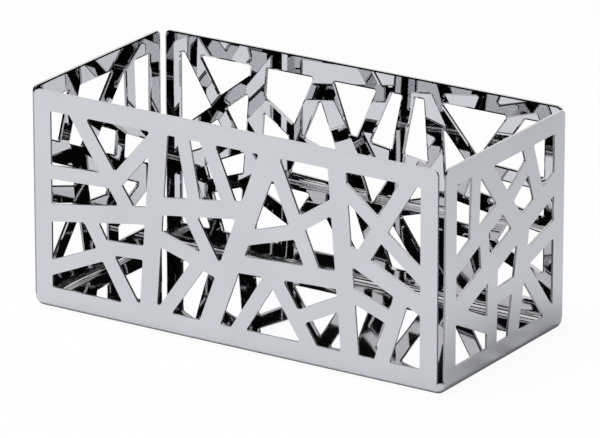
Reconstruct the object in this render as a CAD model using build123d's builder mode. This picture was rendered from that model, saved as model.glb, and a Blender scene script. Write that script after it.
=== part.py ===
from build123d import *
from math import atan2, cos, radians, sin
import os
import random

# Sugar packet holder: an open box of mirror-polished steel sheet. A shallow pan with rolled
# lower edges carries four flat walls. Each wall stands flush on the pan's rim, is parted from
# its neighbours by an open slit at either end, and is pierced with a cracked-ice lattice:
# straight bars that end on one another and leave irregular openings between them.
# The origin is the middle of the underside, +X runs along the long walls and +Z is up.
# Sizes are in millimetres and angles in degrees.

# Overall size
length = 120.0
width = 58.5
height = 57.2

# Sheet metal
sheet = 0.8
inside_bend = 1.7  # radius inside the pan's rolled edges and corners
rim_stand = 0.5  # straight rim above the rolled edge, up to the joint with the walls

# Outline of the walls
corner_slit = 0.7  # clear gap from a wall's end to the inner face of the wall beside it
top_corner = 1.6  # radius of each wall's free upper corners

# Plain borders around the openings
top_border = 5.1
end_border = 4.8
foot_border = 3.0  # above the joint with the pan

# Lattice
long_wall_openings = 30
short_wall_openings = 14
long_wall_seed = 131
short_wall_seed = 65
first_bar = 5.6  # width of the bar along the first crack across a wall
bar_thinning = 0.9  # width of each later bar as a share of the one it ends on
least_tilt = 12.0  # least and most turn of a crack from square across its cell
most_tilt = 34.0
share_play = 0.1  # how far a crack strays from an even division
least_edge = 0.7  # shorter sides of an opening are left out
halvings = 40  # steps taken to place a crack

# Sizes that follow
outside_bend = inside_bend + sheet
rim_top = outside_bend + rim_stand
end_setback = sheet + corner_slit
long_span = length - 2 * end_setback
short_span = width - 2 * end_setback


# Lattice geometry. A cell is a convex outline, anticlockwise, as a list of (corner, bar)
# pairs: bar is the width of the bar along the edge that starts at that corner.


def keep_side(cell, point, normal, bar):
    """Return the part of a cell on the normal's side of a line, with a bar along the cut."""
    kept = []
    for (here, edge_bar), (there, _) in zip(cell, cell[1:] + cell[:1]):
        depth_here = (here - point).dot(normal)
        depth_there = (there - point).dot(normal)
        if depth_here >= 0:
            kept.append((here, edge_bar))
        if depth_here * depth_there < 0:
            crossing = here + (there - here) * (depth_here / (depth_here - depth_there))
            kept.append((crossing, bar if depth_here > 0 else edge_bar))
    return kept


def area_of(cell):
    """Return the area of a cell."""
    corners = [corner for corner, _ in cell]
    return sum(a.cross(b).Z for a, b in zip(corners, corners[1:] + corners[:1])) / 2


def long_direction(cell):
    """Return the angle of the line that a cell's corners lie nearest to."""
    corners = [corner for corner, _ in cell]
    middle = sum(corners, Vector()) / len(corners)
    arms = [corner - middle for corner in corners]
    along_x = sum(arm.X**2 for arm in arms)
    along_y = sum(arm.Y**2 for arm in arms)
    mixed = sum(arm.X * arm.Y for arm in arms)
    return atan2(2 * mixed, along_x - along_y) / 2


def crack(cell, share, tilt, bar):
    """Divide a cell in two by a straight bar, with the given share of its area in the first."""
    angle = long_direction(cell) + radians(tilt)
    normal = Vector(cos(angle), sin(angle))
    reaches = [corner.dot(normal) for corner, _ in cell]
    low, high = min(reaches), max(reaches)
    for _ in range(halvings):
        point = normal * ((low + high) / 2)
        if area_of(keep_side(cell, point, normal, bar)) > share * area_of(cell):
            low = (low + high) / 2
        else:
            high = (low + high) / 2
    return keep_side(cell, point, normal, bar), keep_side(cell, point, -normal, bar)


def shatter(cell, count, chance, bar=first_bar):
    """Break a cell into count cells of about one size, each crack ending on an earlier one."""
    if count < 2:
        return [cell]
    first_count = count // 2
    share = first_count / count * chance.uniform(1 - share_play, 1 + share_play)
    tilt = chance.choice((-1, 1)) * chance.uniform(least_tilt, most_tilt)
    first, second = crack(cell, share, tilt, bar)
    later_bar = bar * bar_thinning
    return shatter(first, first_count, chance, later_bar) + shatter(
        second, count - first_count, chance, later_bar
    )


def opening_in(cell):
    """Return the corners of a cell's opening, which leaves half of each bar along its edge."""
    opening = cell
    for (here, bar), (there, _) in zip(cell, cell[1:] + cell[:1]):
        if bar:
            inward = (there - here).normalized().rotate(Axis.Z, 90)
            opening = keep_side(opening, here + inward * (bar / 2), inward, bar)
    corners = [corner for corner, _ in opening]
    edges = zip(corners, corners[1:] + corners[:1])
    return [here for here, there in edges if (there - here).length > least_edge]


def pierced_panel(span, openings, seed):
    """Return a wall's outline with its openings, from the middle of its foot line, Y up."""
    side = span / 2 - end_border
    foot = rim_top + foot_border
    top = height - top_border
    window = [(Vector(x, y), 0) for x, y in ((-side, foot), (side, foot), (side, top), (-side, top))]
    with BuildSketch() as panel:
        with Locations((0, rim_top)):
            Rectangle(span, height - rim_top, align=(Align.CENTER, Align.MIN))
        fillet(panel.vertices().group_by(Axis.Y)[-1], top_corner)
        for cell in shatter(window, openings, random.Random(seed)):
            corners = opening_in(cell)
            if len(corners) > 2:  # a cell narrower than its bars stays whole
                Polygon(*corners, align=None, mode=Mode.SUBTRACT)
    return panel.sketch


os.makedirs("parts", exist_ok=True)

# Base pan: the floor, rolled up into a low rim with closed round corners
with BuildPart() as base_pan:
    Box(length, width, rim_top, align=(Align.CENTER, Align.CENTER, Align.MIN))
    rolled = base_pan.edges().filter_by(Axis.Z) + base_pan.edges().group_by(Axis.Z)[0]
    fillet(rolled, outside_bend)
    offset(amount=-sheet, openings=base_pan.faces().sort_by(Axis.Z)[-1])
base_pan.part.label = "base_pan"
export_step(base_pan.part, "parts/base_pan.step")

# Long walls: one panel, outer face forward, turned round for the back
long_panel = pierced_panel(long_span, long_wall_openings, long_wall_seed)

with BuildPart() as front_wall:
    with BuildSketch(Plane((0, -width / 2, 0), x_dir=(1, 0, 0), z_dir=(0, -1, 0))):
        add(long_panel)
    extrude(amount=-sheet)
front_wall.part.label = "front_wall"
export_step(front_wall.part, "parts/front_wall.step")

with BuildPart() as back_wall:
    with BuildSketch(Plane((0, width / 2, 0), x_dir=(-1, 0, 0), z_dir=(0, 1, 0))):
        add(long_panel)
    extrude(amount=-sheet)
back_wall.part.label = "back_wall"
export_step(back_wall.part, "parts/back_wall.step")

# Short walls: the same way at the two ends
short_panel = pierced_panel(short_span, short_wall_openings, short_wall_seed)

with BuildPart() as right_wall:
    with BuildSketch(Plane((length / 2, 0, 0), x_dir=(0, 1, 0), z_dir=(1, 0, 0))):
        add(short_panel)
    extrude(amount=-sheet)
right_wall.part.label = "right_wall"
export_step(right_wall.part, "parts/right_wall.step")

with BuildPart() as left_wall:
    with BuildSketch(Plane((-length / 2, 0, 0), x_dir=(0, -1, 0), z_dir=(-1, 0, 0))):
        add(short_panel)
    extrude(amount=-sheet)
left_wall.part.label = "left_wall"
export_step(left_wall.part, "parts/left_wall.step")
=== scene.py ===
"""Looks of a sugar packet holder: an open box of mirror-polished steel sheet with openwork walls.

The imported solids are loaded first, as a fixed frame. Each wall and the base pan is then built
again in the place of its solid: the walls with rounded opening corners, eased edges and the
drawn-in inner edges of punched sheet, the pan with smooth rolled edges. A camera and a plain
pale studio complete the scene.
Lengths are in metres. Angles are in degrees where a name or its description says so.
"""

import logging
from dataclasses import dataclass
from enum import Enum
from math import cos, radians, sin

import bmesh
import bpy
from mathutils import Matrix, Vector


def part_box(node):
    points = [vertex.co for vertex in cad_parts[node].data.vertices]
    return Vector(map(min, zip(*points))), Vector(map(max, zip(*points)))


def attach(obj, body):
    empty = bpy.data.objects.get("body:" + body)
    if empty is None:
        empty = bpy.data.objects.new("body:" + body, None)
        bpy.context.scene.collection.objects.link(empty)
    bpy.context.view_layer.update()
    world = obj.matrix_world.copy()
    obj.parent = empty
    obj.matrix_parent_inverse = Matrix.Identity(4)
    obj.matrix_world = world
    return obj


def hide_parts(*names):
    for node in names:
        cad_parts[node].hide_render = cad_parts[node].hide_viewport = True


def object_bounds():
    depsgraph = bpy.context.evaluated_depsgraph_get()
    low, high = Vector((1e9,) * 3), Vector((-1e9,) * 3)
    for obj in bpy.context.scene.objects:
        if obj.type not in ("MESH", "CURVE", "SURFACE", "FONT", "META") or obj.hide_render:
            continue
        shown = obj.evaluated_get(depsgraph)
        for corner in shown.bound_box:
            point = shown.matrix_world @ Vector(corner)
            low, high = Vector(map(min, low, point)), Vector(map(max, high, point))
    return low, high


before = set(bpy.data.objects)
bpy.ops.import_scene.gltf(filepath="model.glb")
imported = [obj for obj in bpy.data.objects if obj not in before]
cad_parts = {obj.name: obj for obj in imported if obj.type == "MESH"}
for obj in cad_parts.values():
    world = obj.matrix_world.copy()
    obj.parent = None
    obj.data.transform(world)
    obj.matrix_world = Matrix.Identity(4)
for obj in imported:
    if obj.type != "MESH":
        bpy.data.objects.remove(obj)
cad_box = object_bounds()

MM = 0.001
WELD = 0.001 * MM
UP = Vector((0, 0, 1))
WHITE = (1, 1, 1, 1)

# On every piece the finish of the sheet's faces is in this material slot
FACE_SLOT = 0

Colour = tuple[float, float, float]
Place = tuple[float, float, float]
Span = tuple[float, float]
Socket = bpy.types.NodeSocket

log = logging.getLogger("sugar_packet_holder")


class Side(Enum):
    """The four walls: the node each one stands for, and the way its outer face looks."""

    FRONT = ("front_wall", (0, -1, 0))
    BACK = ("back_wall", (0, 1, 0))
    LEFT = ("left_wall", (-1, 0, 0))
    RIGHT = ("right_wall", (1, 0, 0))

    @property
    def node(self) -> str:
        """The name of the solid that this wall replaces."""
        return self.value[0]

    @property
    def outward(self) -> Vector:
        """The direction of the wall's outer face."""
        return Vector(self.value[1])


@dataclass
class Graph:
    """A node tree that is being wired.

    Attributes:
        tree: the tree that gets the nodes.
    """

    tree: bpy.types.NodeTree

    def add(
        self, kind: str, inputs: dict[str | int, object] | None = None, **settings: object
    ) -> bpy.types.Node:
        """Add a node.

        Args:
            kind: the node's type name.
            inputs: for each input, by name or number, the socket that feeds it or its value.
            settings: the node's own properties, such as its mode.

        Returns:
            The new node.
        """
        node = self.tree.nodes.new(kind)
        for name, value in settings.items():
            setattr(node, name, value)
        for name, value in (inputs or {}).items():
            if isinstance(value, Socket):
                self.link(value, node.inputs[name])
            else:
                node.inputs[name].default_value = value
        return node

    def link(self, source: Socket, target: Socket) -> None:
        """Feed one socket from another."""
        self.tree.links.new(source, target)

    def math(self, operation: str, *values: object) -> Socket:
        """Return the result of some arithmetic on sockets and numbers."""
        inputs = dict(enumerate(values))
        return self.add("ShaderNodeMath", inputs, operation=operation).outputs["Value"]

    def compare(self, operation: str, one: object, other: object) -> Socket:
        """Return whether a comparison of two numbers holds."""
        settings = {"data_type": "FLOAT", "operation": operation}
        return self.add("FunctionNodeCompare", {"A": one, "B": other}, **settings).outputs["Result"]

    def logic(self, operation: str, one: object, other: object) -> Socket:
        """Return whether two truths hold together in the given way."""
        inputs = {0: one, 1: other}
        return self.add("FunctionNodeBooleanMath", inputs, operation=operation).outputs["Boolean"]

    def vector(self, x: object, y: object, z: object) -> Socket:
        """Return the vector of three parts."""
        return self.add("ShaderNodeCombineXYZ", {"X": x, "Y": y, "Z": z}).outputs["Vector"]

    def scale(self, vector: Socket, factor: object) -> Socket:
        """Return a vector times a number."""
        inputs = {"Vector": vector, "Scale": factor}
        return self.add("ShaderNodeVectorMath", inputs, operation="SCALE").outputs["Vector"]

    def noise(self, place: Socket, scale: float, detail: float) -> Socket:
        """Return a noise pattern, as shares from 0 to 1."""
        inputs = {"Vector": place, "Scale": scale, "Detail": detail}
        return self.add("ShaderNodeTexNoise", inputs).outputs["Fac"]

    def tones(self, share: Socket, span: Span, first: Colour, last: Colour) -> Socket:
        """Run from one colour to another.

        Args:
            share: the pattern that the colour follows.
            span: the shares at which the run starts and ends.
            first: the colour at the start.
            last: the colour at the end.

        Returns:
            The socket with the colour.
        """
        ramp = self.add("ShaderNodeValToRGB", {"Fac": share})
        for stop, position, colour in zip(ramp.color_ramp.elements, span, (first, last)):
            stop.position = position
            stop.color = (*colour, 1)
        return ramp.outputs["Color"]

    def spread(self, share: Socket, span: Span, first: float, last: float) -> Socket:
        """Run from one number to another.

        Args:
            share: the pattern that the number follows.
            span: the shares at which the run starts and ends.
            first: the number at the start.
            last: the number at the end.

        Returns:
            The socket with the number.
        """
        start, end = span
        inputs = {"Value": share, "From Min": start, "From Max": end, "To Min": first, "To Max": last}
        return self.add("ShaderNodeMapRange", inputs).outputs["Result"]

    def bump(self, height: Socket, depth: float, under: Socket | None = None) -> Socket:
        """Make a relief.

        Args:
            height: the pattern of the relief.
            depth: how deep the relief is.
            under: the normal of a coarser relief that carries this one.

        Returns:
            The socket with the normal.
        """
        inputs = {"Height": height, "Distance": depth}
        if under is not None:
            inputs["Normal"] = under
        return self.add("ShaderNodeBump", inputs).outputs["Normal"]

    def mix(self, share: Socket, first: Socket, last: Socket) -> Socket:
        """Return a mix of two shaders, with the given share of the last."""
        return self.add("ShaderNodeMixShader", {0: share, 1: first, 2: last}).outputs["Shader"]

    def flag(self, name: str) -> Socket:
        """Return a named attribute that is true or false."""
        node = self.add("GeometryNodeInputNamedAttribute", {"Name": name}, data_type="BOOLEAN")
        return node.outputs["Attribute"]

    def join(self, *parts: Socket) -> Socket:
        """Join geometries.

        Args:
            parts: the geometries, in order.

        Returns:
            The socket with them all.
        """
        joined = self.add("GeometryNodeJoinGeometry")
        for part in parts:
            self.link(part, joined.inputs["Geometry"])
        return joined.outputs["Geometry"]

    def store(
        self, geometry: Socket, name: str, value: Socket, data_type: str, domain: str
    ) -> Socket:
        """Write a named attribute.

        Args:
            geometry: the geometry that gets the attribute.
            name: the attribute's name.
            value: what is written.
            data_type: the attribute's type.
            domain: whether points, edges or faces carry it.

        Returns:
            The socket with the geometry.
        """
        stored = self.add(
            "GeometryNodeStoreNamedAttribute",
            {"Geometry": geometry, "Name": name, "Value": value},
            data_type=data_type,
            domain=domain,
        )
        return stored.outputs["Geometry"]


def add_object(name: str, data: bpy.types.ID) -> bpy.types.Object:
    """Put a new object in the scene.

    Args:
        name: the object's name.
        data: its mesh, lamp or camera.

    Returns:
        The object, at the origin.
    """
    added = bpy.data.objects.new(name, data)
    bpy.context.scene.collection.objects.link(added)
    return added


def new_metal(name: str) -> tuple[bpy.types.Material, Graph, bpy.types.Node]:
    """Make a material with nothing but its metal shader.

    Args:
        name: the material's name.

    Returns:
        The material, its node graph and its Principled shader.
    """
    material = bpy.data.materials.new(name)
    material.use_nodes = True
    shader = material.node_tree.nodes["Principled BSDF"]
    shader.inputs["Metallic"].default_value = 1.0
    return material, Graph(material.node_tree), shader


def new_stage_finish(name: str) -> tuple[bpy.types.Material, Graph, Socket]:
    """Make a material with no shader yet, for the studio.

    Args:
        name: the material's name.

    Returns:
        The material, its node graph and the socket that takes its shader.
    """
    material = bpy.data.materials.new(name)
    material.use_nodes = True
    nodes = material.node_tree.nodes
    nodes.remove(nodes["Principled BSDF"])
    return material, Graph(material.node_tree), nodes["Material Output"].inputs["Surface"]


@dataclass(frozen=True)
class PolishedSteel:
    """Mirror-polished stainless sheet: clouds of haze, hairlines and the waviness of thin sheet.

    Attributes:
        name: the material's name.
        bright: colour where the polish is clear.
        hazed: colour where it is hazed.
        clear_roughness: roughness where the polish is clear.
        hazed_roughness: roughness where it is hazed.
        haze_span: shares of the cloud pattern at which haze begins and is full.
        cloud_size: size of the clouds.
        cloud_detail: how many finer layers the clouds have.
        wave_length: size of the waves in the sheet.
        wave_height: height of those waves.
        wave_detail: how many finer layers the waves have.
        hairline_length: length of the polishing hairlines.
        hairline_width: distance between them.
        hairline_height: depth of their relief.
        hairline_detail: how many finer layers the hairlines have.
    """

    name: str = "polished_steel"
    bright: Colour = (0.67, 0.675, 0.685)
    hazed: Colour = (0.635, 0.64, 0.65)
    clear_roughness: float = 0.004
    hazed_roughness: float = 0.02
    haze_span: Span = (0.35, 0.75)
    cloud_size: float = 18 * MM
    cloud_detail: float = 5.0
    wave_length: float = 34 * MM
    wave_height: float = 0.12 * MM
    wave_detail: float = 1.0
    hairline_length: float = 30 * MM
    hairline_width: float = 0.22 * MM
    hairline_height: float = 0.00005 * MM
    hairline_detail: float = 2.0

    def material(self) -> bpy.types.Material:
        """Make the finish.

        Returns:
            The material, on Object coordinates.
        """
        material, graph, shader = new_metal(self.name)
        place = graph.add("ShaderNodeTexCoord").outputs["Object"]

        clouds = graph.noise(place, 1 / self.cloud_size, self.cloud_detail)
        tone = graph.tones(clouds, self.haze_span, self.bright, self.hazed)
        haze = graph.spread(clouds, self.haze_span, self.clear_roughness, self.hazed_roughness)

        waves = graph.noise(place, 1 / self.wave_length, self.wave_detail)
        waved = graph.bump(waves, self.wave_height)
        scale = (1 / self.hairline_length, 1 / self.hairline_length, 1 / self.hairline_width)
        stretch = graph.add("ShaderNodeMapping", {"Vector": place, "Scale": scale})
        hairs = graph.noise(stretch.outputs["Vector"], 1.0, self.hairline_detail)
        haired = graph.bump(hairs, self.hairline_height, waved)

        graph.link(tone, shader.inputs["Base Color"])
        graph.link(haze, shader.inputs["Roughness"])
        graph.link(haired, shader.inputs["Normal"])
        return material


@dataclass(frozen=True)
class CutEdge:
    """The cut faces of the sheet: satin, a shade darker, with striations across the thickness.

    Attributes:
        pale: colour of the smooth streaks.
        dark: colour of the rough ones.
        smooth_roughness: roughness of the smooth streaks.
        rough_roughness: roughness of the rough ones.
        streak_span: shares of the pattern at which the rough streaks end and the smooth begin.
        striation_pitch: distance between the striations.
        striation_length: length of a striation.
        striation_depth: depth of their relief.
        striation_detail: how many finer layers the striations have.
    """

    pale: Colour = (0.45, 0.455, 0.46)
    dark: Colour = (0.31, 0.314, 0.32)
    smooth_roughness: float = 0.15
    rough_roughness: float = 0.26
    streak_span: Span = (0.3, 0.7)
    striation_pitch: float = 0.16 * MM
    striation_length: float = 2.0 * MM
    striation_depth: float = 0.002 * MM
    striation_detail: float = 3.0

    def material(self, across: Vector) -> bpy.types.Material:
        """Make the finish.

        Args:
            across: the axis of the sheet's thickness, which the striations follow.

        Returns:
            The material, on Object coordinates.
        """
        material, graph, shader = new_metal("cut_edge")
        place = graph.add("ShaderNodeTexCoord").outputs["Object"]
        scale = [1 / (self.striation_length if part else self.striation_pitch) for part in across]
        stretch = graph.add("ShaderNodeMapping", {"Vector": place, "Scale": scale})
        marks = graph.noise(stretch.outputs["Vector"], 1.0, self.striation_detail)
        tone = graph.tones(marks, self.streak_span, self.dark, self.pale)
        grain = graph.spread(marks, self.streak_span, self.rough_roughness, self.smooth_roughness)
        scored = graph.bump(marks, self.striation_depth)
        graph.link(tone, shader.inputs["Base Color"])
        graph.link(grain, shader.inputs["Roughness"])
        graph.link(scored, shader.inputs["Normal"])
        return material


class PlateInput(Enum):
    """The named inputs of the pierced plate's tree, with their socket types."""

    SHEET = ("Sheet thickness", "NodeSocketFloat")
    OPENING_CORNER = ("Opening corner radius", "NodeSocketFloat")
    CORNER_STEPS = ("Corner steps", "NodeSocketInt")
    DRAWN_WIDTH = ("Width of the drawn-in edge", "NodeSocketFloat")
    DRAWN_DEPTH = ("Depth of the drawn-in edge", "NodeSocketFloat")
    FOOT = ("Height of the foot line", "NodeSocketFloat")
    CREASE = ("Least angle of an eased edge", "NodeSocketFloat")
    FACE_FINISH = ("Face finish", "NodeSocketMaterial")
    EDGE_FINISH = ("Edge finish", "NodeSocketMaterial")

    @property
    def label(self) -> str:
        """The socket's name."""
        return self.value[0]

    @property
    def kind(self) -> str:
        """The socket's type."""
        return self.value[1]


class PiercedPlate:
    """A flat sheet with openings, made by Geometry Nodes from a flat wire of its outlines.

    The wire lies in X and Y. Its points carry the attribute "opening", which is true on the
    outlines of openings. The plate's outer face is at Z = 0 and looks up.
    """

    # Edges this near to the inner face, as a share of the drawn-in depth, are its rim
    INNER_RIM_SHARE = 0.25

    def __init__(self) -> None:
        """Name the inputs of the tree and wire it."""
        self.tree = bpy.data.node_groups.new("pierced_plate", "GeometryNodeTree")
        face = self.tree.interface
        face.new_socket("Outlines", in_out="INPUT", socket_type="NodeSocketGeometry")
        self.sockets = {
            entry: face.new_socket(entry.label, in_out="INPUT", socket_type=entry.kind).identifier
            for entry in PlateInput
        }
        face.new_socket("Plate", in_out="OUTPUT", socket_type="NodeSocketGeometry")

        self.graph = Graph(self.tree)
        given = self.graph.add("NodeGroupInput").outputs
        self.values = {entry: given[entry.label] for entry in PlateInput}
        position = self.graph.add("GeometryNodeInputPosition").outputs["Position"]
        self.place = self.graph.add("ShaderNodeSeparateXYZ", {"Vector": position}).outputs
        foot = self.values[PlateInput.FOOT]
        self.above_foot = self.graph.compare("GREATER_THAN", self.place["Y"], foot)
        self.wire(given["Outlines"])

    def wire(self, outlines: Socket) -> None:
        """Lead the outlines through every step to the tree's output.

        Args:
            outlines: the flat wire.
        """
        graph = self.graph
        sheet = self.values[PlateInput.SHEET]
        cut_depth = graph.math("SUBTRACT", sheet, self.values[PlateInput.DRAWN_DEPTH])
        inward = graph.vector(0.0, 0.0, graph.math("MULTIPLY", cut_depth, -1.0))
        sunk = graph.add(
            "GeometryNodeTransform", {"Geometry": self.fill(outlines), "Translation": inward}
        ).outputs["Geometry"]
        outer = self.raise_outer_face(sunk, cut_depth)
        inner = self.draw_in_inner_face(sunk)
        welded = graph.add(
            "GeometryNodeMergeByDistance", {"Geometry": graph.join(outer, inner), "Distance": WELD}
        ).outputs["Geometry"]
        graph.add("NodeGroupOutput", {"Plate": self.dress(self.mark_edges(welded))})

    def fill(self, outlines: Socket) -> Socket:
        """Fill the outlines, with the corners of the openings rounded.

        Args:
            outlines: the flat wire.

        Returns:
            The socket with the flat sheet.
        """
        graph = self.graph
        parted = graph.add(
            "GeometryNodeSeparateGeometry",
            {"Geometry": outlines, "Selection": graph.flag("opening")},
            domain="POINT",
        ).outputs
        openings = graph.add("GeometryNodeMeshToCurve", {"Mesh": parted["Selection"]})
        rounded = graph.add(
            "GeometryNodeFilletCurve",
            {
                "Curve": openings.outputs["Curve"],
                "Count": self.values[PlateInput.CORNER_STEPS],
                "Radius": self.values[PlateInput.OPENING_CORNER],
                "Limit Radius": True,
            },
            mode="POLY",
        )
        border = graph.add("GeometryNodeMeshToCurve", {"Mesh": parted["Inverted"]})
        curves = graph.join(rounded.outputs["Curve"], border.outputs["Curve"])
        return graph.add("GeometryNodeFillCurve", {"Curve": curves}, mode="NGONS").outputs["Mesh"]

    def push_faces(self, flat: Socket, depth: Socket) -> bpy.types.Node:
        """Return the node that pushes the faces of a flat sheet out as one."""
        inputs = {"Mesh": flat, "Offset Scale": depth, "Individual": False}
        return self.graph.add("GeometryNodeExtrudeMesh", inputs, mode="FACES")

    def raise_outer_face(self, sunk: Socket, cut_depth: Socket) -> Socket:
        """Return the outer face, raised from the sunk sheet, and its edges, marked "cut_edge"."""
        raised = self.push_faces(sunk, cut_depth).outputs
        return self.graph.store(raised["Mesh"], "cut_edge", raised["Side"], "BOOLEAN", "FACE")

    def draw_in_inner_face(self, sunk: Socket) -> Socket:
        """Lower the inner face, smaller by the drawn-in edges, which the foot doesn't have.

        Args:
            sunk: the flat sheet at the depth to which the punch has cut.

        Returns:
            The socket with the inner face and its sloping edges.
        """
        graph = self.graph
        turned = graph.add("GeometryNodeFlipFaces", {"Mesh": sunk}).outputs["Mesh"]
        lowered = self.push_faces(turned, self.values[PlateInput.DRAWN_DEPTH]).outputs

        # Only the edge faces count towards the direction in which a point moves
        normal = graph.add("GeometryNodeInputNormal").outputs["Normal"]
        sideways = graph.add(
            "GeometryNodeFieldOnDomain",
            {"Value": graph.scale(normal, lowered["Side"])},
            data_type="FLOAT_VECTOR",
            domain="FACE",
        ).outputs["Value"]
        outward = graph.add("ShaderNodeVectorMath", {0: sideways}, operation="NORMALIZE")
        reach = graph.scale(outward.outputs["Vector"], self.values[PlateInput.DRAWN_WIDTH])
        turn_back = graph.vector(-1.0, graph.math("MULTIPLY", self.above_foot, -1.0), -1.0)
        drawn = graph.add("ShaderNodeVectorMath", {0: reach, 1: turn_back}, operation="MULTIPLY")
        inner = graph.add(
            "GeometryNodeSetPosition",
            {
                "Geometry": lowered["Mesh"],
                "Selection": lowered["Top"],
                "Offset": drawn.outputs["Vector"],
            },
        )
        return inner.outputs["Geometry"]

    def mark_edges(self, shell: Socket) -> Socket:
        """Mark which edges are eased and which stay sharp.

        Every crease is eased but those along the foot, which meet the pan flush. Those stay
        sharp, and so does the rim of the flat inner face.

        Args:
            shell: the closed sheet.

        Returns:
            The socket with the marked sheet.
        """
        graph = self.graph
        angle = graph.add("GeometryNodeInputMeshEdgeAngle").outputs["Unsigned Angle"]
        crease = graph.compare("GREATER_THAN", angle, self.values[PlateInput.CREASE])
        eased = graph.logic("AND", crease, self.above_foot)
        along_foot = graph.logic("NIMPLY", crease, self.above_foot)

        inner_face = graph.math("MULTIPLY", self.values[PlateInput.SHEET], -1.0)
        drawn_depth = self.values[PlateInput.DRAWN_DEPTH]
        rim_level = graph.math("MULTIPLY_ADD", drawn_depth, self.INNER_RIM_SHARE, inner_face)
        inner_rim = graph.compare("LESS_THAN", self.place["Z"], rim_level)
        sharp = graph.logic("OR", along_foot, inner_rim)

        weighted = graph.store(shell, "bevel_weight_edge", eased, "FLOAT", "EDGE")
        return graph.store(weighted, "sharp_edge", sharp, "BOOLEAN", "EDGE")

    def dress(self, shell: Socket) -> Socket:
        """Give the sheet its finishes.

        Args:
            shell: the marked sheet.

        Returns:
            The socket with the finished sheet.
        """
        real = self.graph.add("GeometryNodeRealizeInstances", {"Geometry": shell})
        faced = self.graph.add(
            "GeometryNodeSetMaterial",
            {"Geometry": real.outputs["Geometry"], "Material": self.values[PlateInput.FACE_FINISH]},
        )
        edged = self.graph.add(
            "GeometryNodeSetMaterial",
            {
                "Geometry": faced.outputs["Geometry"],
                "Selection": self.graph.flag("cut_edge"),
                "Material": self.values[PlateInput.EDGE_FINISH],
            },
        )
        return edged.outputs["Geometry"]

    def cut(
        self, name: str, wire: bpy.types.Mesh, given: dict[PlateInput, object]
    ) -> bpy.types.Object:
        """Make a plate from its outlines.

        Args:
            name: the name of the piece.
            wire: the outlines, flat in X and Y.
            given: the value of each input.

        Returns:
            An object that holds the plate as a plain mesh, with no modifier left on it.
        """
        piece = add_object(name, wire)
        modifier = piece.modifiers.new("pierced_plate", "NODES")
        modifier.node_group = self.tree
        for entry, value in given.items():
            modifier[self.sockets[entry]] = value
        bpy.context.view_layer.update()
        evaluated = piece.evaluated_get(bpy.context.evaluated_depsgraph_get())
        plate = bpy.data.meshes.new_from_object(evaluated)
        # The tree leaves an empty slot in front of its two finishes
        plate.materials.pop(index=0)
        piece.modifiers.clear()
        piece.data = plate
        return piece


def ease_edges(piece: bpy.types.Object, width: float, steps: int) -> None:
    """Round the weighted edges of a sheet piece, and leave its flat faces flat.

    Args:
        piece: the piece, whose mesh carries bevel weights.
        width: width of the rounding.
        steps: facets across the rounding.
    """
    eased = piece.modifiers.new("eased_edges", "BEVEL")
    eased.limit_method = "WEIGHT"
    eased.offset_type = "OFFSET"
    eased.width = width
    eased.segments = steps
    eased.use_clamp_overlap = False
    eased.harden_normals = True
    eased.material = FACE_SLOT


def hand_over(piece: bpy.types.Object, node: str) -> None:
    """Put a finished piece in the place of its solid.

    Args:
        piece: the finished piece.
        node: the solid that it replaces.
    """
    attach(piece, "root")
    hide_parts(node)


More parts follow.
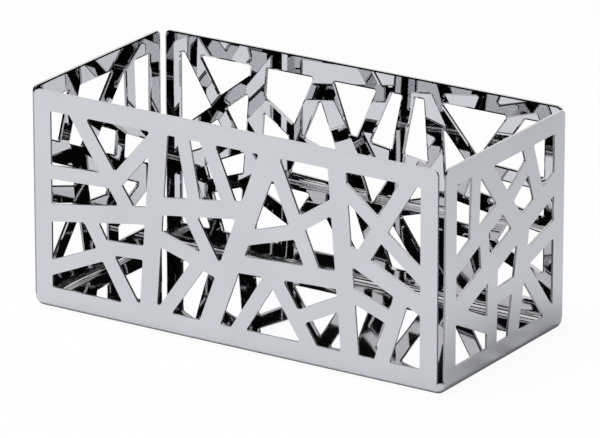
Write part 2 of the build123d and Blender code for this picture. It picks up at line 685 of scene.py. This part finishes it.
@dataclass
class OpenworkWall:
    """One pierced wall.

    Attributes:
        side: which wall it is.
        face_finish: the finish of the sheet.
        edge_finish: the finish of its cut faces.
        opening_corner: radius in the corners of the openings.
        corner_steps: points added to round each of those corners.
        drawn_width: how far the punch has drawn the inner edges in, along the sheet.
        drawn_depth: how far it has drawn them in, into the sheet.
        eased_edge: width of the rounding along the edges of the sheet.
        ease_steps: facets across that rounding.
        crease_degrees: least angle between faces that counts as an edge of the sheet.
        border_reach: how far in from the wall's own box its plain outline stays.
        outer_facing: how far outwards a face has to point, from 0 to 1, to be on the outer face.
    """

    side: Side
    face_finish: bpy.types.Material
    edge_finish: bpy.types.Material
    opening_corner: float = 0.45 * MM
    corner_steps: int = 5
    drawn_width: float = 0.42 * MM
    drawn_depth: float = 0.16 * MM
    eased_edge: float = 0.06 * MM
    ease_steps: int = 3
    crease_degrees: float = 40.0
    border_reach: float = 2.0 * MM
    outer_facing: float = 0.5

    @property
    def sheet(self) -> float:
        """The thickness of the wall."""
        low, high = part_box(self.side.node)
        return abs((high - low).dot(self.side.outward))

    def placement(self) -> Matrix:
        """Lay the flat plan, X along the wall and Y up, on the wall's outer face.

        Returns:
            The matrix from the plan to the holder's frame.
        """
        low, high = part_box(self.side.node)
        outward = self.side.outward
        origin = (low + high) / 2 + outward * self.sheet / 2
        origin.z = 0
        turn = Matrix((UP.cross(outward), UP, outward)).transposed().to_4x4()
        return Matrix.Translation(origin) @ turn

    def outlines(self) -> bpy.types.Mesh:
        """Take the edges of the solid's outer face.

        Returns:
            A flat wire in the plan, with the openings marked.
        """
        solid = bmesh.new()
        solid.from_mesh(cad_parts[self.side.node].data)
        solid.transform(self.placement().inverted())
        bmesh.ops.remove_doubles(solid, verts=solid.verts[:], dist=WELD)
        solid.normal_update()
        rest = [face for face in solid.faces if face.normal.z < self.outer_facing]
        bmesh.ops.delete(solid, geom=rest, context="FACES")
        inside = [edge for edge in solid.edges if not edge.is_boundary]
        bmesh.ops.delete(solid, geom=inside, context="EDGES_FACES")
        wire = bpy.data.meshes.new(f"{self.side.node}_outlines")
        solid.to_mesh(wire)
        solid.free()

        across = max(vertex.co.x for vertex in wire.vertices) - self.border_reach
        foot = min(vertex.co.y for vertex in wire.vertices) + self.border_reach
        top = max(vertex.co.y for vertex in wire.vertices) - self.border_reach
        opening = wire.attributes.new("opening", "BOOLEAN", "POINT")
        for vertex, mark in zip(wire.vertices, opening.data):
            mark.value = abs(vertex.co.x) < across and foot < vertex.co.y < top
        return wire

    def build(self, plate: PiercedPlate) -> bpy.types.Object:
        """Make the wall and put it in the place of its solid.

        Args:
            plate: the tree that makes pierced plates.

        Returns:
            The finished wall.
        """
        wire = self.outlines()
        foot = min(vertex.co.y for vertex in wire.vertices)
        piece = plate.cut(
            f"{self.side.name.lower()}_openwork",
            wire,
            {
                PlateInput.SHEET: self.sheet,
                PlateInput.OPENING_CORNER: self.opening_corner,
                PlateInput.CORNER_STEPS: self.corner_steps,
                PlateInput.DRAWN_WIDTH: self.drawn_width,
                PlateInput.DRAWN_DEPTH: self.drawn_depth,
                PlateInput.FOOT: foot + WELD,
                PlateInput.CREASE: radians(self.crease_degrees),
                PlateInput.FACE_FINISH: self.face_finish,
                PlateInput.EDGE_FINISH: self.edge_finish,
            },
        )
        piece.data.transform(self.placement())
        piece.data.shade_smooth()
        ease_edges(piece, self.eased_edge, self.ease_steps)
        hand_over(piece, self.side.node)
        return piece


@dataclass
class BasePan:
    """The floor, rolled up all round into a low rim with closed round corners.

    Attributes:
        finish: the finish of the sheet.
        sheet: thickness of the sheet.
        outside_bend: radius outside the rolled edges and corners.
        bend_steps: facets across a rolled edge.
        corner_steps: facets round a corner, in plan.
        eased_edge: width of the rounding where the rim is bare, in the corner slits.
        ease_steps: facets across that rounding.
        crease_degrees: least angle between faces that counts as an edge of the sheet.
    """

    finish: bpy.types.Material
    sheet: float
    outside_bend: float = 2.5 * MM
    bend_steps: int = 14
    corner_steps: int = 14
    eased_edge: float = 0.06 * MM
    ease_steps: int = 3
    crease_degrees: float = 40.0

    def straight_reach(self) -> tuple[float, float]:
        """Return how far the straight sides run from the middle, along X and along Y."""
        _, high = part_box("base_pan")
        return high.x - self.outside_bend, high.y - self.outside_bend

    def profile(self) -> list[tuple[float, float]]:
        """Draw the section, from the underside round the rim to the floor.

        Returns:
            Its points, as (inset, height).
        """
        outer = self.outside_bend
        inner = self.outside_bend - self.sheet
        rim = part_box("base_pan")[1].z
        turns = [radians(90) * step / self.bend_steps for step in range(self.bend_steps + 1)]
        outside = [(outer * (1 - sin(turn)), outer * (1 - cos(turn))) for turn in turns]
        inside = [(outer - inner * sin(turn), outer - inner * cos(turn)) for turn in reversed(turns)]
        return [*outside, (0.0, rim), (self.sheet, rim), *inside]

    def ring(self, inset: float, height: float) -> list[Vector]:
        """Draw a round-cornered rectangle, anticlockwise from above.

        Args:
            inset: how far it lies inside the pan's outline.
            height: how far it lies above the table.

        Returns:
            Its points, with the same count for every inset.
        """
        reach_x, reach_y = self.straight_reach()
        radius = max(self.outside_bend - inset, 0.0)
        points = []
        for quarter, (side_x, side_y) in enumerate(((1, 1), (-1, 1), (-1, -1), (1, -1))):
            for step in range(self.corner_steps + 1):
                angle = radians(90) * (quarter + step / self.corner_steps)
                x = side_x * reach_x + radius * cos(angle)
                y = side_y * reach_y + radius * sin(angle)
                points.append(Vector((x, y, height)))
        return points

    def weigh_rim(self, shell: bmesh.types.BMesh) -> None:
        """Mark the edges of the rim's round corners, the only stretches that no wall stands on.

        Args:
            shell: the pan's mesh.
        """
        straight_x, straight_y = self.straight_reach()
        weight = shell.edges.layers.float.new("bevel_weight_edge")
        for edge in shell.edges:
            middle = (edge.verts[0].co + edge.verts[1].co) / 2
            at_corner = abs(middle.x) > straight_x and abs(middle.y) > straight_y
            creased = edge.calc_face_angle() > radians(self.crease_degrees)
            edge[weight] = float(at_corner and creased)

    def build(self) -> bpy.types.Object:
        """Make the pan and put it in the place of its solid.

        Returns:
            The finished pan.
        """
        shell = bmesh.new()
        rings = [[shell.verts.new(point) for point in self.ring(*spot)] for spot in self.profile()]
        for lower, upper in zip(rings, rings[1:]):
            for here in range(len(lower)):
                there = (here + 1) % len(lower)
                shell.faces.new((lower[here], lower[there], upper[there], upper[here]))
        shell.faces.new(rings[0][::-1])
        shell.faces.new(rings[-1])
        bmesh.ops.remove_doubles(shell, verts=shell.verts[:], dist=WELD)
        self.weigh_rim(shell)
        mesh = bpy.data.meshes.new("base_tray")
        shell.to_mesh(mesh)
        shell.free()
        mesh.materials.append(self.finish)
        mesh.shade_smooth()
        mesh.set_sharp_from_angle(angle=radians(self.crease_degrees))

        piece = add_object("base_tray", mesh)
        ease_edges(piece, self.eased_edge, self.ease_steps)
        flat = piece.modifiers.new("flat_floor", "WEIGHTED_NORMAL")
        flat.keep_sharp = True
        hand_over(piece, "base_pan")
        return piece


@dataclass
class Studio:
    """A white table top under soft light, ringed by a dark and a lit screen for the metal to mirror.

    The screens show in the metal alone. Light off the table top passes through them, so that
    they don't change its tone.

    Attributes:
        floor_size: side of the table top.
        floor_drop: gap under the holder, so that the two faces don't coincide.
        floor_tone: colour of the table top.
        seen_glow: share of plain white in the table top as the camera sees it.
        mirrored_glow: share of plain white in the table top as the metal mirrors it.
        fill: strength of the light from all round.
        key_place: where the lamp hangs.
        key_size: side of the lamp.
        key_power: power of the lamp, in watts.
        dark_glow: brightness of the screen behind the camera.
        lit_glow: brightness of the screen behind the holder.
        dark_turn_degrees: how much of the circle the dark screen takes up.
        screen_radius: distance of the screens from the holder.
        screen_height: height of the screens.
        screen_steps: facets round each screen.
        screen_clear_below: how clear the screens are to a view from under the table top.
    """

    floor_size: float = 12.0
    floor_drop: float = 0.02 * MM
    floor_tone: Colour = (0.855, 0.887, 0.93)
    seen_glow: float = 0.95
    mirrored_glow: float = 0.1
    fill: float = 0.03
    key_place: Place = (-0.16, -0.19, 0.88)
    key_size: float = 0.58
    key_power: float = 9.02
    dark_glow: float = 0.004
    lit_glow: float = 1.4
    dark_turn_degrees: float = 250.0
    screen_radius: float = 2.3
    screen_height: float = 3.3
    screen_steps: int = 24
    screen_clear_below: float = 0.55

    def build(self, camera_azimuth: float) -> None:
        """Make the surroundings, the table top, the lamp and the two screens.

        Args:
            camera_azimuth: where the camera stands round the holder, in degrees.
        """
        self.light_world()
        self.lay_floor()
        self.hang_key_lamp()
        dark_turn = self.dark_turn_degrees
        self.stand_screen("dark_screen", self.dark_glow, camera_azimuth, dark_turn)
        self.stand_screen("lit_screen", self.lit_glow, camera_azimuth + 180, 360 - dark_turn)

    @staticmethod
    def white_share(graph: Graph, seen: float, mirrored: float) -> Socket:
        """Tell by the kind of ray how much plain white it meets.

        Args:
            graph: the graph that gets the nodes.
            seen: the share for the camera.
            mirrored: the share for metal and glass.

        Returns:
            The socket with the share, which is 0 for other rays, such as light off the table top.
        """
        path = graph.add("ShaderNodeLightPath").outputs
        mirror = graph.math("MAXIMUM", path["Is Glossy Ray"], path["Is Transmission Ray"])
        first_hand = graph.math("GREATER_THAN", mirror, path["Diffuse Depth"])
        mirror_share = graph.math("MULTIPLY", first_hand, mirrored)
        return graph.math("MULTIPLY_ADD", path["Is Camera Ray"], seen, mirror_share)

    def light_world(self) -> None:
        """Surround the scene with white, dimmer as a light than as a background."""
        world = bpy.data.worlds.new("white_surround")
        world.use_nodes = True
        graph = Graph(world.node_tree)
        background = world.node_tree.nodes["Background"]
        background.inputs["Color"].default_value = WHITE
        strength = graph.spread(self.white_share(graph, 1.0, 1.0), (0.0, 1.0), self.fill, 1.0)
        graph.link(strength, background.inputs["Strength"])
        bpy.context.scene.world = world

    def lay_floor(self) -> None:
        """Lay the table top, white to the camera, shadowed by the holder and clear from below."""
        material, graph, surface = new_stage_finish("white_table_top")
        matt = graph.add("ShaderNodeBsdfDiffuse", {"Color": (*self.floor_tone, 1)}).outputs["BSDF"]
        white = graph.add("ShaderNodeEmission", {"Color": WHITE, "Strength": 1.0}).outputs["Emission"]
        open_air = graph.add("ShaderNodeBsdfTransparent").outputs["BSDF"]
        share = self.white_share(graph, self.seen_glow, self.mirrored_glow)
        table = graph.mix(share, matt, white)
        backfacing = graph.add("ShaderNodeNewGeometry").outputs["Backfacing"]
        passed_through = graph.add("ShaderNodeLightPath").outputs["Transparent Depth"]
        below = graph.math("MAXIMUM", backfacing, passed_through)
        graph.link(graph.mix(below, table, open_air), surface)

        half = self.floor_size / 2
        corners = [(-half, -half), (half, -half), (half, half), (-half, half)]
        mesh = bpy.data.meshes.new("table_top")
        mesh.from_pydata([(x, y, -self.floor_drop) for x, y in corners], [], [(0, 1, 2, 3)])
        mesh.materials.append(material)
        floor = add_object("table_top", mesh)

    def hang_key_lamp(self) -> None:
        """Hang the soft lamp at the front left, so that the shadow falls to the right and back."""
        lamp = bpy.data.lights.new("key_lamp", "AREA")
        lamp.shape = "SQUARE"
        lamp.size = self.key_size
        lamp.energy = self.key_power
        key = add_object("key_lamp", lamp)
        key.location = self.key_place
        key.rotation_euler = (-Vector(self.key_place)).to_track_quat("-Z", "Y").to_euler()
        key.visible_glossy = False

    def stand_screen(self, name: str, glow: float, middle: float, turn: float) -> None:
        """Stand a screen round the holder, where only the metal sees it.

        Args:
            name: the screen's name.
            glow: how bright the screen is, where 1 is white.
            middle: where the middle of the screen stands round the holder, in degrees.
            turn: how much of the circle the screen takes up, in degrees.
        """
        material, graph, surface = new_stage_finish(name)
        lit = graph.add("ShaderNodeEmission", {"Color": WHITE, "Strength": glow}).outputs["Emission"]
        open_air = graph.add("ShaderNodeBsdfTransparent").outputs["BSDF"]
        path = graph.add("ShaderNodeLightPath").outputs
        from_below = graph.math("MULTIPLY", path["Transparent Depth"], self.screen_clear_below)
        clear = graph.math("ADD", from_below, path["Diffuse Depth"])
        graph.link(graph.mix(clear, lit, open_air), surface)

        points = []
        for step in range(self.screen_steps + 1):
            angle = radians(middle - turn / 2 + turn * step / self.screen_steps)
            foot = Vector((sin(angle), -cos(angle), 0)) * self.screen_radius
            points += [foot, foot + UP * self.screen_height]
        faces = [(low, low + 2, low + 3, low + 1) for low in range(0, 2 * self.screen_steps, 2)]
        mesh = bpy.data.meshes.new(name)
        mesh.from_pydata(points, [], faces)
        mesh.materials.append(material)
        screen = add_object(name, mesh)
        screen.visible_camera = False
        screen.visible_diffuse = False
        screen.visible_shadow = False


@dataclass(frozen=True)
class Viewpoint:
    """The camera, where a fit to the holder's outline puts it.

    Attributes:
        azimuth_degrees: turn to the right of the holder's front.
        elevation_degrees: height above the table.
        distance: distance from the middle of the holder.
        lens_mm: focal length.
        sensor_mm: width of the sensor.
        shift_x: framing shift to the right, as a share of the picture's width.
        shift_y: framing shift upwards, as a share of the picture's width.
    """

    azimuth_degrees: float = 32.8
    elevation_degrees: float = 19.13
    distance: float = 1.483
    lens_mm: float = 360.0
    sensor_mm: float = 36.0
    shift_x: float = 0.0044
    shift_y: float = -0.0197

    def build(self) -> None:
        """Make the camera and look through it."""
        low, high = cad_box
        azimuth = radians(self.azimuth_degrees)
        elevation = radians(self.elevation_degrees)
        level = cos(elevation)
        back = Vector((sin(azimuth) * level, -cos(azimuth) * level, sin(elevation)))
        lens = bpy.data.cameras.new("viewpoint")
        lens.sensor_width = self.sensor_mm
        lens.lens = self.lens_mm
        lens.shift_x = self.shift_x
        lens.shift_y = self.shift_y
        camera = add_object("viewpoint", lens)
        camera.location = (low + high) / 2 + back * self.distance
        camera.rotation_euler = (-back).to_track_quat("-Z", "Y").to_euler()
        bpy.context.scene.camera = camera


def main() -> None:
    """Build the holder, the camera and the studio, and report each piece."""
    logging.basicConfig(level=logging.INFO)
    bpy.context.scene.view_settings.view_transform = "Standard"
    steel = PolishedSteel().material()
    edges = CutEdge()
    plate = PiercedPlate()
    walls = [OpenworkWall(side, steel, edges.material(side.outward)) for side in Side]
    pieces = [wall.build(plate) for wall in walls]
    pan_steel = PolishedSteel("pan_steel", clear_roughness=0.02, hazed_roughness=0.05)
    pieces.append(BasePan(pan_steel.material(), walls[0].sheet).build())
    for piece in pieces:
        log.info("%s: %d faces before its edges are eased", piece.name, len(piece.data.polygons))

    viewpoint = Viewpoint()
    viewpoint.build()
    Studio().build(viewpoint.azimuth_degrees)


if __name__ == "__main__":
    main()
